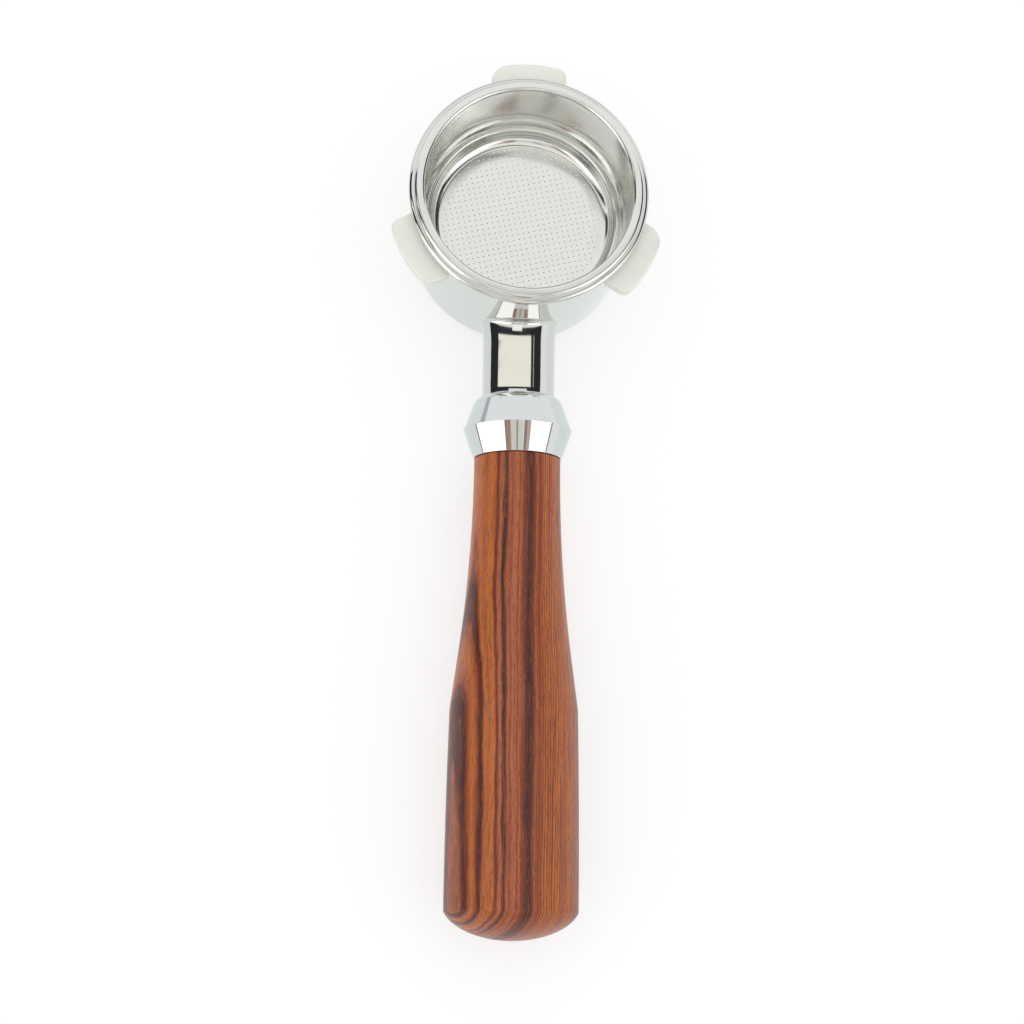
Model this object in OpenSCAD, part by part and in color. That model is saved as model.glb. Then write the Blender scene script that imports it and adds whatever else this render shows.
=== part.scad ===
// Bottomless portafilter with a turned wooden handle, in millimetres.
// The origin is the centre of the basket's rim, +Z is the group's axis and the handle points to -Y.
// Profiles of turned pieces are lists of [radius, height]. Along the handle, the height is the
// distance from the group's axis, measured on the handle's own axis.

/* [Filter basket] */
// Inner radius of the basket's mouth
basket_r = 27; // [26.5:0.1:27.2]
// Thickness of the pressed sheet
sheet_t = 0.5; // [0.4:0.05:0.5]
// Outer radius of the basket's turned-down rim
rim_r = 29.8; // [29.4:0.1:30]
// Height of the turned-down rim
rim_h = 1.3; // [1.1:0.1:1.6]
// Depth at which the straight wall starts to curve inwards
wall_depth = 17.5; // [16:0.5:18]
// Depth of the perforated floor
floor_depth = 25.3; // [25:0.1:26]
// Radius of the bead around the floor, to the middle of its crest
bead_r = 24.75; // [24.5:0.05:24.9]

/* [Head casting] */
// Largest outer radius of the ring, at its shoulder
ring_r = 31.1; // [30.8:0.1:32]
// Outer radius of the ring at its lower edge
ring_foot_r = 28.7; // [28.6:0.1:31]
// Depth of the ring's lower edge below the basket's rim
ring_depth = 38; // [37.5:0.1:40]
// Inner radius of the seat that holds the basket
seat_r = 27.8; // [27.8:0.05:28]
// Inner radius of the open bottom
outlet_r = 26.6; // [26:0.1:27]

/* [Locking lugs] */
// Radius of the lugs' outer arc
lug_r = 36.6; // [34:0.1:38]
// Width of a lug
lug_w = 19.7; // [16:0.1:22]
// Thickness of a lug
lug_t = 3.2; // [2.5:0.1:4]
// Depth of the lugs' upper faces below the basket's rim
lug_depth = 5.1; // [4:0.1:6]
// Corner radius at a lug's leading end
lug_lead_r = 5; // [3:0.5:6]
// Corner radius at a lug's trailing end
lug_tail_r = 2.2; // [1:0.1:3]

/* [Neck and ferrule] */
// Depth of the handle's axis where it crosses the group's axis
neck_depth = 26.5; // [25:0.5:28]
// Angle by which the handle slopes down
droop = 3.5; // [0:0.5:6]
// Radius of the neck
neck_r = 9.5; // [9.2:0.05:9.9]
// Distance to the neck's threaded end
neck_end = 51; // [50:0.5:52]
// Distance to the ferrule's mouth
ferrule_start = 48; // [47:0.5:49]
// Distance to the ferrule's ridge
ridge_at = 56.85; // [55:0.05:58]
// Radius of the ferrule's ridge
ridge_r = 14.25; // [13:0.1:15]

/* [Wooden handle] */
// Distance to the front face of the wood
wood_start = 64.4; // [63:0.1:66]
// Radius of the wood behind the ferrule
wood_r = 11.3; // [11:0.1:12]
// Length of the wood up to the edge of its rounded end
wood_len = 117.4; // [110:0.1:130]
// Height of the rounded end
dome_h = 7.2; // [5:0.1:9]

/* [Thread] */
// Nominal radius of the handle's thread
thread_r = 6; // [5:0.5:6]

/* [Hidden] */
$fn = 96;
eps = 0.01;

// filter basket
mouth_round = 0.8;
rim_round = 0.9;
wall_curve_r = 8.2;
wall_curve_angle = 34;
bead_round = 1;
bead_start_angle = 40;
bead_z = -floor_depth + 2.55;
floor_round = 2.2;

// head casting
shoulder_round = 1;
foot_round = 0.8;
seat_chamfer = 0.4;
seat_end_depth = 24;
wire_r = 0.7;
wire_depth = 7.1;
wire_gap = 0.1;
wire_centre_r = basket_r + sheet_t + wire_gap + wire_r;
wire_opening = 28;
groove_h = 1.6;
groove_r = wire_centre_r + wire_r + 0.15;
lug_root_y = 29;
lead_ramp_len = 7;
lead_ramp_h = 1;
lug_count = 3;

// neck
root_round = 2.2;
root_at = 32.4;
foot_clear = 0.1;
bore_start = 33;
bore_clear = 0.05;
end_chamfer = 0.6;

// ferrule and washer
mouth_clear = 0.07;
ferrule_round = 3;
ferrule_round_inset = 0.53;
washer_t = 1.2;
washer_r = 9.1;
washer_split = 1.6;
hole_clear = 0.3;
ferrule_back_r = 11.6;
face_gap = 0.05;
ferrule_end = wood_start - face_gap;

// stud and insert
stud_start = 34.5;
stud_end = 87;
insert_r = 8;
insert_start = wood_start + 0.5;
insert_end = 88.5;
insert_rings = 4;
insert_ring_depth = 0.5;
glue_gap = 0.02;

// wooden handle
wood_edge = 0.4;
waist_start = wood_start + 1.5;
waist_curve_r = 380;
waist_angle = 7.8;
break_at = wood_start + 65.2;
break_round = 10;
barrel_angle = 1.45;
arris_at = wood_start + wood_len;
dome_offset = 2.5;

// Points of an arc round [cx, cy] from angle a0 to a1, in n steps
function arc(cx, cy, r, a0, a1, n) =
    [for (i = [0:n]) let (a = a0 + (a1 - a0) * i / n) [cx + r * cos(a), cy + r * sin(a)]];

function unit(v) = v / norm(v);

// Unit vector to the left of the step from p to q
function left_of(p, q) = let (d = unit(q - p)) [-d[1], d[0]];

// The open outline moved to its left by t, with mitred corners
function moved_left(pts, t) =
    let (last = len(pts) - 1)
    [for (i = [0:last])
        let (before = left_of(pts[max(i - 1, 0)], pts[max(i, 1)]),
             after = left_of(pts[min(i, last - 1)], pts[min(i + 1, last)]))
        pts[i] + t * (before + after) / (1 + before * after)];

function reversed(pts) = [for (i = [len(pts) - 1:-1:0]) pts[i]];

// Stands its children on the handle's axis: their +Z becomes the way from head to handle end
module on_handle_axis() {
    translate([0, 0, -neck_depth]) rotate([90 + droop, 0, 0]) children();
}

module tube(r, inner_r, from, to) {
    translate([0, 0, from]) difference() {
        cylinder(r = r, h = to - from);
        translate([0, 0, -eps]) cylinder(r = inner_r, h = to - from + 2 * eps);
    }
}

// Inside surface of the basket, from the lower edge of the rim to the centre of the floor
basket_inside = concat(
    [[rim_r, -rim_h]],
    arc(rim_r - rim_round, -rim_round, rim_round, 0, 90, 6),
    arc(basket_r + mouth_round, -mouth_round, mouth_round, 90, 180, 6),
    arc(basket_r - wall_curve_r, -wall_depth, wall_curve_r, 0, -wall_curve_angle, 8),
    arc(bead_r, bead_z, bead_round, bead_start_angle, 180, 8),
    arc(bead_r - bead_round - floor_round, -floor_depth + floor_round, floor_round, 0, -90, 8),
    [[0, -floor_depth]]
);

module filter_basket() {
    color("gainsboro") rotate_extrude()
        polygon(concat(basket_inside, reversed(moved_left(basket_inside, sheet_t))));
}

// Wire clip that grips the basket, open at the front
module basket_spring() {
    color("silver") translate([0, 0, -wire_depth])
        rotate([0, 0, 90 + wire_opening / 2])
            rotate_extrude(angle = 360 - wire_opening)
                translate([wire_centre_r, 0]) circle(r = wire_r, $fn = 32);
}

module ring_blank() {
    rotate_extrude() polygon(concat(
        [[outlet_r - 2, -ring_depth], [outlet_r - 2, -rim_h]],
        arc(ring_r - shoulder_round, -rim_h - shoulder_round, shoulder_round, 90, 0, 6),
        arc(ring_foot_r - foot_round, -ring_depth + foot_round, foot_round, 0, -90, 6)
    ));
}

// Everything that is cut out of the ring from above and below
module ring_bore() {
    rotate_extrude() polygon([
        [0, 1], [seat_r + seat_chamfer, 1], [seat_r + seat_chamfer, -rim_h],
        [seat_r, -rim_h - seat_chamfer],
        [seat_r, -wire_depth + groove_h / 2], [groove_r, -wire_depth + groove_h / 2],
        [groove_r, -wire_depth - groove_h / 2], [seat_r, -wire_depth - groove_h / 2],
        [seat_r, -seat_end_depth], [outlet_r, -seat_end_depth - (seat_r - outlet_r)],
        [outlet_r, -ring_depth + seat_chamfer], [outlet_r + seat_chamfer, -ring_depth],
        [outlet_r + seat_chamfer, -ring_depth - 5], [0, -ring_depth - 5]
    ]);
}

// Centre of a corner arc that touches both the lug's outer arc and its straight end
function corner_centre(r, side) =
    let (x = lug_w / 2 - r) [side * x, sqrt(pow(lug_r - r, 2) - x * x)];

module lug_outline() {
    lead = corner_centre(lug_lead_r, -1);
    tail = corner_centre(lug_tail_r, 1);
    intersection() {
        circle(r = lug_r, $fn = 180);
        polygon([[0, 0], lead * 2, tail * 2]);
    }
    translate(lead) circle(r = lug_lead_r);
    translate(tail) circle(r = lug_tail_r);
    polygon([
        [-lug_w / 2, lug_root_y], [-lug_w / 2, lead[1]], lead, tail,
        [lug_w / 2, tail[1]], [lug_w / 2, lug_root_y]
    ]);
}

// One lug at the front, with a ramp under its leading end
module lug() {
    difference() {
        translate([0, 0, -lug_depth - lug_t]) linear_extrude(lug_t) difference() {
            lug_outline();
            circle(r = lug_root_y);
        }
        translate([0, lug_r + 5, -lug_depth - lug_t]) rotate([90, 0, 0])
            linear_extrude(lug_r) polygon([
                [-lug_w / 2 - 1, -1], [-lug_w / 2 - 1, lead_ramp_h * (1 + 1 / lead_ramp_len)],
                [-lug_w / 2 + lead_ramp_len, 0], [-lug_w / 2 + lead_ramp_len, -1]
            ]);
    }
}

// Neck with a rounded root, kept above the ring's lower edge where it joins the ring
module neck() {
    intersection() {
        on_handle_axis() rotate_extrude() polygon(concat(
            [[0, 22], [neck_r + root_round, 22]],
            arc(neck_r + root_round, root_at, root_round, 270, 180, 8),
            [[0, root_at]]
        ));
        translate([-50, -60, -ring_depth + foot_clear]) cube([100, 60, ring_depth]);
    }
    on_handle_axis() rotate_extrude() polygon([
        [0, root_at - 1], [neck_r, root_at - 1], [neck_r, neck_end - end_chamfer],
        [neck_r - end_chamfer, neck_end], [0, neck_end]
    ]);
}

module head_casting() {
    color("whitesmoke") difference() {
        union() {
            ring_blank();
            neck();
            for (i = [0:lug_count - 1]) rotate([0, 0, i * 360 / lug_count]) lug();
        }
        ring_bore();
        on_handle_axis() translate([0, 0, bore_start])
            cylinder(r = thread_r, h = neck_end - bore_start + 1);
    }
}

// Angle from the axis of the line through p that touches the circle round c on its outer side
function tangent_angle(c, r, p) =
    atan2(p[0] - c[0], p[1] - c[1]) - asin(r / norm(p - c));

module handle_ferrule() {
    round_at = [neck_r - ferrule_round_inset, ferrule_start + ferrule_round];
    cone_angle = tangent_angle(round_at, ferrule_round, [ridge_r, ridge_at]);
    color("silver") on_handle_axis() difference() {
        rotate_extrude() polygon(concat(
            [[0, ferrule_start]],
            arc(round_at[0], round_at[1], ferrule_round, -90, -cone_angle, 8),
            [[ridge_r, ridge_at], [ferrule_back_r, ferrule_end], [0, ferrule_end]]
        ));
        translate([0, 0, ferrule_start - 1])
            cylinder(r = neck_r + mouth_clear, h = neck_end + washer_t - ferrule_start + 1);
        cylinder(r = thread_r + hole_clear, h = ferrule_end + 1);
    }
}

module spring_washer() {
    color("dimgray") on_handle_axis() difference() {
        tube(washer_r, thread_r + hole_clear, neck_end, neck_end + washer_t);
        translate([-washer_split / 2, 0, neck_end - 1]) cube([washer_split, washer_r + 1, washer_t + 2]);
    }
}

module handle_stud() {
    r = thread_r - bore_clear;
    color("lightsteelblue") on_handle_axis() rotate_extrude() polygon([
        [0, stud_start], [r - end_chamfer, stud_start], [r, stud_start + end_chamfer],
        [r, stud_end - end_chamfer], [r - end_chamfer, stud_end], [0, stud_end]
    ]);
}

module threaded_insert() {
    pitch = (insert_end - insert_start) / insert_rings;
    color("goldenrod") on_handle_axis() difference() {
        tube(insert_r - glue_gap, thread_r - bore_clear + glue_gap, insert_start, insert_end);
        for (i = [0:insert_rings - 1])
            tube(insert_r + 1, insert_r - insert_ring_depth,
                insert_start + pitch * (i + 0.4), insert_start + pitch * (i + 0.6));
    }
}

// Outside of the wood: waist curve, straight flare, soft break, barrel curve, rounded end
function waist(i, n) = let (a = waist_angle * i / n)
    [wood_r + waist_curve_r * (1 - cos(a)), waist_start + waist_curve_r * sin(a)];
waist_end = waist(1, 1);
break_r = waist_end[0] + (break_at - waist_end[1]) * tan(waist_angle);
barrel_curve_r = (arris_at - break_at) / sin(barrel_angle);
barrel_start_r = break_r + break_round * (cos(barrel_angle) - cos(waist_angle));
barrel_start = break_at + break_round * (sin(waist_angle) - sin(barrel_angle));
function barrel(i, n) = let (a = barrel_angle * (1 - i / n))
    [barrel_start_r + barrel_curve_r * (cos(a) - cos(barrel_angle)),
     barrel_start + (arris_at - barrel_start) * i / n];
arris_r = barrel(1, 1)[0];
dome_semi = dome_h + dome_offset;
dome_r = arris_r / sqrt(1 - pow(dome_offset / dome_semi, 2));
dome_first_angle = asin(dome_offset / dome_semi);
function dome(i, n) = let (a = dome_first_angle + (90 - dome_first_angle) * i / n)
    [i == n ? 0 : dome_r * cos(a), arris_at - dome_offset + dome_semi * sin(a)];

module wooden_handle() {
    color("sienna") on_handle_axis() difference() {
        rotate_extrude() polygon(concat(
            [[0, wood_start], [wood_r - wood_edge, wood_start]],
            [[wood_r, wood_start + wood_edge]],
            [for (i = [0:12]) waist(i, 12)],
            [[break_r, break_at]],
            [for (i = [0:8]) barrel(i, 8)],
            [for (i = [1:12]) dome(i, 12)]
        ));
        translate([0, 0, wood_start - 1]) cylinder(r = insert_r, h = insert_end - wood_start + 1.5);
    }
}

head_casting();
filter_basket();
basket_spring();
handle_ferrule();
spring_washer();
handle_stud();
threaded_insert();
wooden_handle();
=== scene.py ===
import math

import bmesh
import bpy
import numpy as np
from mathutils import Matrix, Vector
from mathutils.geometry import delaunay_2d_cdt


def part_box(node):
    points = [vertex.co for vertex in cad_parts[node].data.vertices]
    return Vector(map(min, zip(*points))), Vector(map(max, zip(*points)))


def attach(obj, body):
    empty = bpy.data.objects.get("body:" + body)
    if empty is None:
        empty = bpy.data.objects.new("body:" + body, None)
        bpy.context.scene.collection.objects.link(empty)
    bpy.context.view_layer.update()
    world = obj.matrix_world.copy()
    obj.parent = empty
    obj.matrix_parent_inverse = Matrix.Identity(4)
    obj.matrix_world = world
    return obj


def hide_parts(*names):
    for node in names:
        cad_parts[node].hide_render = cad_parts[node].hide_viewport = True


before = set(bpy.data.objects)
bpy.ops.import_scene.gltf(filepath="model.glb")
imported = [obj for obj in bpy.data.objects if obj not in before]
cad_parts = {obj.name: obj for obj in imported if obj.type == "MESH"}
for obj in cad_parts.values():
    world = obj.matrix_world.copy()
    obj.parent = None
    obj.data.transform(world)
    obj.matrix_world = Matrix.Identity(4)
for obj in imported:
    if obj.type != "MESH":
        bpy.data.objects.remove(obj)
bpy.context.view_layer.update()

# A bottomless portafilter: lengths are millimetres until a mesh is built, which is in metres.
# The origin is the centre of the basket's rim, +Z is up and the handle points to -Y.
# Outlines of turned pieces are lists of (radius, height). On the handle's axis, the height is
# the distance from the group's axis.
MM = 0.001
SEGMENTS = 256
LONGEST_STEP = 4
SHARP_TURN = math.radians(32)
SHARP_EDGE = math.radians(35)
NORMAL = "smooth_normal"
SATIN = "satin"

# Sizes of the head casting
RING_R = 31.1
RING_TOP = -1.3
RING_FOOT_R = 28.7
RING_DEPTH = -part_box("head_casting")[0].z / MM
SHOULDER_ROUND = 1.0
FOOT_ROUND = 0.8
SEAT_R = 27.8
SEAT_CHAMFER = 0.4
SEAT_END = -24.0
OUTLET_R = 26.6
GROOVE_Z = -7.1
GROOVE_H = 1.6
GROOVE_R = 29.15

# Sizes of the locking lugs
LUG_R = 36.6
LUG_W = 19.7
LUG_T = 3.2
LUG_TOP = -5.1
LUG_ROOT_R = 29.0
LUG_LEAD_R = 5.0
LUG_TAIL_R = 2.2
LUG_EDGE = 0.55
LUG_SHARP_EDGE = math.radians(50)
RAMP_LEN = 7.0
RAMP_H = 1.0
LUG_COUNT = 3

# Sizes along the handle's axis
NECK_DEPTH = 26.5
DROOP = math.radians(3.5)
NECK_R = 9.5
ROOT_FLARE_S = 34.0
ROOT_FLARE = 0.020
END_FLARE_S = 46.5
END_FLARE = 0.034
NECK_END = 51.0
NECK_CHAMFER = 0.6
NECK_BURIED_S = 23.0
NECK_BURIED_SHARE = 0.8
ROOT_ROUND = 1.2
THREAD_PITCH = 1.75
THREAD_DEPTH = 0.95
THREAD_CREST = 0.12
THREAD_FLANK = 0.72
BORE_R = 6.02
BORE_START = 33.0
BORE_END = 55.0
FERRULE_START = 48.0
FERRULE_ROUND = 3.0
FERRULE_INSET = 0.53
FERRULE_CLEARANCE = 0.07
RIDGE_S = 56.85
RIDGE_R = 14.25
RIDGE_ROUND = 0.14
FERRULE_BACK_R = 11.6
FERRULE_BACK_ROUND = 0.18
FERRULE_END = 64.35
STUD_HOLE_R = 6.3
WASHER_T = 1.2
WOOD_START = 64.4
WOOD_R = 11.3
WOOD_EDGE = 0.4
WAIST_CURVE_R = 380.0
WAIST_ANGLE = math.radians(7.8)
WAIST_START = WOOD_START + 1.5
BREAK_S = WOOD_START + 65.2
BREAK_ROUND = 10.0
BARREL_ANGLE = math.radians(1.45)
ARRIS_S = WOOD_START + 117.4
ARRIS_ROUND = 0.3
DOME_H = 7.2
DOME_OFFSET = 2.5
WOOD_BORE_R = 8.0
WOOD_BORE_END = 89.0
STUD_R = 5.94
STUD_START = 34.5
STUD_END = 87.0

# Sizes of the basket
BASKET_R = 27.0
SHEET_T = 0.5
RIM_R = 29.8
RIM_H = 1.3
RIM_ROUND = 0.9
MOUTH_ROUND = 0.8
WALL_END = -17.5
WALL_ROUND = 8.2
WALL_TURN = 31
BEAD_R = 25.2
BEAD_H = 3.2
BEAD_ROUND = 0.6
BEAD_TURN = 40
FLOOR_ROUND = 3.1
FLOOR_DEPTH = 25.3
HOLE_R = 0.22
HOLE_PITCH = 1.48
HOLE_TURN = math.radians(13)
HOLE_FIELD_R = 21.1
HOLE_SIDES = 8
DISH_START_R = 13.0
DISH_TILT = math.radians(4.0)

# Sizes of the spring
SPRING_R = 28.3
WIRE_R = 0.7
SPRING_OPENING = math.radians(28)

ON_AXIS = Matrix.Translation((0, 0, -NECK_DEPTH)) @ Matrix.Rotation(math.radians(90) + DROOP, 4, "X")


# ---------------------------------------------------------------- outlines

def arc(centre, radius, start, end, steps):
    """Points on an arc in the (radius, height) plane, angles in degrees."""
    angles = np.radians(np.linspace(start, end, steps + 1))
    return [(centre[0] + radius * math.cos(a), centre[1] + radius * math.sin(a)) for a in angles]


def densified(outline, longest):
    """The outline with its long straight steps split, so that no step is longer than longest."""
    points = []
    for p, q in zip(outline, outline[1:]):
        count = max(1, math.ceil(math.dist(p, q) / longest))
        points += [(p[0] + (q[0] - p[0]) * i / count, p[1] + (q[1] - p[1]) * i / count) for i in range(count)]
    return points + [outline[-1]]


def moved_left(outline, distance):
    """The open outline moved to its left, with mitred corners."""
    pts = np.array(outline, float)
    steps = np.diff(pts, axis=0)
    left = np.stack([-steps[:, 1], steps[:, 0]], 1) / np.linalg.norm(steps, axis=1)[:, None]
    before = np.vstack([left[:1], left])
    after = np.vstack([left, left[-1:]])
    mitre = (before + after) / (1 + (before * after).sum(1))[:, None]
    return [tuple(p) for p in pts + distance * mitre]


# ---------------------------------------------------------------- meshes

def mesh_object(name, vertices, faces, normals=None, place=None):
    """A mesh object from millimetre vertices, with one normal for each face corner."""
    mesh = bpy.data.meshes.new(name)
    mesh.from_pydata([tuple(v) for v in np.asarray(vertices) * MM], [], faces)
    if place is not None:
        metres = place.copy()
        metres.translation *= MM
        mesh.transform(metres)
    mesh.shade_smooth()
    obj = bpy.data.objects.new(name, mesh)
    bpy.context.scene.collection.objects.link(obj)
    if normals is not None:
        if place is not None:
            normals = normals @ np.array(place.to_3x3()).T
        store_normals(mesh, normals)
        mesh.normals_split_custom_set(normals)
    return obj


def store_normals(mesh, normals):
    attribute = mesh.attributes.get(NORMAL) or mesh.attributes.new(NORMAL, "FLOAT_VECTOR", "CORNER")
    attribute.data.foreach_set("vector", np.asarray(normals, float).ravel())


def outline_normals(outline):
    """For each step of a closed outline, the outward normals at its two ends."""
    pts = np.array(outline, float)
    steps = np.roll(pts, -1, 0) - pts
    lengths = np.maximum(np.linalg.norm(steps, axis=1), 1e-9)
    flat = np.stack([steps[:, 1], -steps[:, 0]], 1) / lengths[:, None]
    before, before_length = np.roll(flat, 1, 0), np.roll(lengths, 1)
    soft = (flat * before).sum(1) > math.cos(SHARP_TURN)
    shared = flat * lengths[:, None] + before * before_length[:, None]
    shared /= np.maximum(np.linalg.norm(shared, axis=1), 1e-9)[:, None]
    at_start = np.where(soft[:, None], shared, flat)
    at_end = np.where(np.roll(soft, -1)[:, None], np.roll(shared, -1, 0), flat)
    return at_start, at_end


def turned(outline, open_step=None):
    """Vertices, faces and corner normals of a turned closed outline, less the step open_step."""
    pts = [tuple(p) for p in outline]
    area = sum(p[0] * q[1] - q[0] * p[1] for p, q in zip(pts, pts[1:] + pts[:1]))
    if area < 0:
        pts = pts[::-1]
        open_step = None if open_step is None else (len(pts) - 2 - open_step) % len(pts)
    at_start, at_end = outline_normals(pts)
    turns = np.arange(SEGMENTS) * 2 * math.pi / SEGMENTS
    cosines, sines = np.cos(turns), np.sin(turns)
    vertices, rows = [], []
    for radius, height in pts:
        first = len(vertices)
        if radius < 1e-6:
            vertices.append((0, 0, height))
            rows.append([first] * SEGMENTS)
        else:
            vertices += [(radius * c, radius * s, height) for c, s in zip(cosines, sines)]
            rows.append(list(range(first, first + SEGMENTS)))
    faces, normals = [], []
    for i in range(len(pts)):
        low, high = rows[i], rows[(i + 1) % len(pts)]
        if i == open_step or (low[0] == low[1] and high[0] == high[1]):
            continue
        a, b = at_start[i], at_end[i]
        for j in range(SEGMENTS):
            k = (j + 1) % SEGMENTS
            corners = [(low[j], a, j), (low[k], a, k), (high[k], b, k), (high[j], b, j)]
            if low[j] == low[k]:
                corners = [corners[0], corners[2], corners[3]]
            elif high[j] == high[k]:
                corners = corners[:3]
            faces.append([c[0] for c in corners])
            normals += [(n[0] * cosines[t], n[0] * sines[t], n[1]) for _, n, t in corners]
    return vertices, faces, normals


def lathe(name, outline, place=None):
    vertices, faces, normals = turned(outline)
    return mesh_object(name, vertices, faces, np.array(normals), place)


def welded(vertices, faces):
    """The same faces on vertices of which equal ones are merged."""
    keys = np.round(np.asarray(vertices, float), 5) + 0.0
    merged, place_of = np.unique(keys, axis=0, return_inverse=True)
    place_of = place_of.ravel()
    return merged, [tuple(int(place_of[v]) for v in face) for face in faces]


def carve(obj, other, operation):
    """Adds other to obj or cuts it out, and keeps the stored normals of both."""
    if operation == "DIFFERENCE":
        store_normals(other.data, -read_normals(other.data))
    modifier = obj.modifiers.new("carve", "BOOLEAN")
    modifier.operation = operation
    modifier.solver = "MANIFOLD"
    modifier.object = other
    evaluated = obj.evaluated_get(bpy.context.evaluated_depsgraph_get())
    result = bpy.data.meshes.new_from_object(evaluated)
    obj.modifiers.clear()
    obj.data = result
    bpy.data.objects.remove(other)


def read_normals(mesh):
    values = np.zeros(len(mesh.loops) * 3)
    mesh.attributes[NORMAL].data.foreach_get("vector", values)
    return values.reshape(-1, 3)


def apply_stored_normals(obj):
    normals = read_normals(obj.data)
    normals /= np.maximum(np.linalg.norm(normals, axis=1), 1e-9)[:, None]
    obj.data.shade_smooth()
    obj.data.normals_split_custom_set(normals)


def threaded_rod(name, radius, start, end, lead_in):
    """A rod on the handle's axis with a V thread, whose crests fade out over lead_in at both ends."""
    segments, rows_per_turn = 64, 12
    rows = math.ceil((end - start) / THREAD_PITCH * rows_per_turn)
    heights = np.linspace(start, end, rows + 1)
    turns = np.arange(segments) / segments
    phase = (heights[:, None] / THREAD_PITCH - turns[None, :]) % 1.0
    valley = np.clip((np.abs(phase - 0.5) * 2 - THREAD_CREST) / THREAD_FLANK, 0, 1)
    fade = np.minimum(heights - start, end - heights)[:, None] / lead_in
    crest = radius - THREAD_DEPTH * (1 - np.clip(fade, 0, 1))
    radii = np.minimum(radius - THREAD_DEPTH * valley, crest)
    angles = 2 * math.pi * turns[None, :]
    grid = np.stack([radii * np.cos(angles), radii * np.sin(angles),
                     np.repeat(heights[:, None], segments, 1)], 2)
    vertices = np.vstack([grid.reshape(-1, 3), [(0, 0, start)], [(0, 0, end)]])
    bottom, top = len(vertices) - 2, len(vertices) - 1
    faces = []
    for j in range(segments):
        k = (j + 1) % segments
        faces.append((bottom, k, j))
        faces.append((top, rows * segments + j, rows * segments + k))
        faces += [(i * segments + j, i * segments + k, (i + 1) * segments + k, (i + 1) * segments + j)
                  for i in range(rows)]
    obj = mesh_object(name, vertices, faces, place=ON_AXIS)
    obj.data.set_sharp_from_angle(angle=SHARP_EDGE)
    keep_shaded_normals(obj.data)
    return obj


def keep_shaded_normals(mesh):
    normals = np.zeros(len(mesh.loops) * 3)
    mesh.corner_normals.foreach_get("vector", normals)
    store_normals(mesh, normals.reshape(-1, 3))


# ---------------------------------------------------------------- head casting

def ring_outside():
    """The ring's outer side, from its upper land to its lower edge."""
    return (
        arc((RING_R - SHOULDER_ROUND, RING_TOP - SHOULDER_ROUND), SHOULDER_ROUND, 90, 0, 14)
        + arc((RING_FOOT_R - FOOT_ROUND, -RING_DEPTH + FOOT_ROUND), FOOT_ROUND, 0, -90, 14)
    )


def ring_bore_outline():
    groove_top, groove_foot = GROOVE_Z + GROOVE_H / 2, GROOVE_Z - GROOVE_H / 2
    beyond = 5
    return [
        (0, beyond), (SEAT_R + SEAT_CHAMFER, beyond), (SEAT_R + SEAT_CHAMFER, RING_TOP),
        (SEAT_R, RING_TOP - SEAT_CHAMFER), (SEAT_R, groove_top), (GROOVE_R, groove_top),
        (GROOVE_R, groove_foot), (SEAT_R, groove_foot), (SEAT_R, SEAT_END),
        (OUTLET_R, SEAT_END - (SEAT_R - OUTLET_R)), (OUTLET_R, -RING_DEPTH + SEAT_CHAMFER),
        (OUTLET_R + SEAT_CHAMFER, -RING_DEPTH), (OUTLET_R + SEAT_CHAMFER, -RING_DEPTH - beyond),
        (0, -RING_DEPTH - beyond),
    ]


def nearest_on_outline(outline, points):
    """For each (radius, height) point, the nearest point of the outline and the signed distance."""
    starts = np.array(outline[:-1], float)
    steps = np.array(outline[1:], float) - starts
    relative = points[:, None, :] - starts[None]
    share = np.clip((relative * steps).sum(2) / (steps * steps).sum(1), 0, 1)
    nearest = starts[None] + share[:, :, None] * steps[None]
    distance = np.linalg.norm(points[:, None, :] - nearest, axis=2)
    best = distance.argmin(1)
    row = np.arange(len(points))
    outward = np.stack([-steps[best, 1], steps[best, 0]], 1)
    side = np.sign(((points - nearest[row, best]) * outward).sum(1))
    return nearest[row, best], distance[row, best] * side


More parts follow.
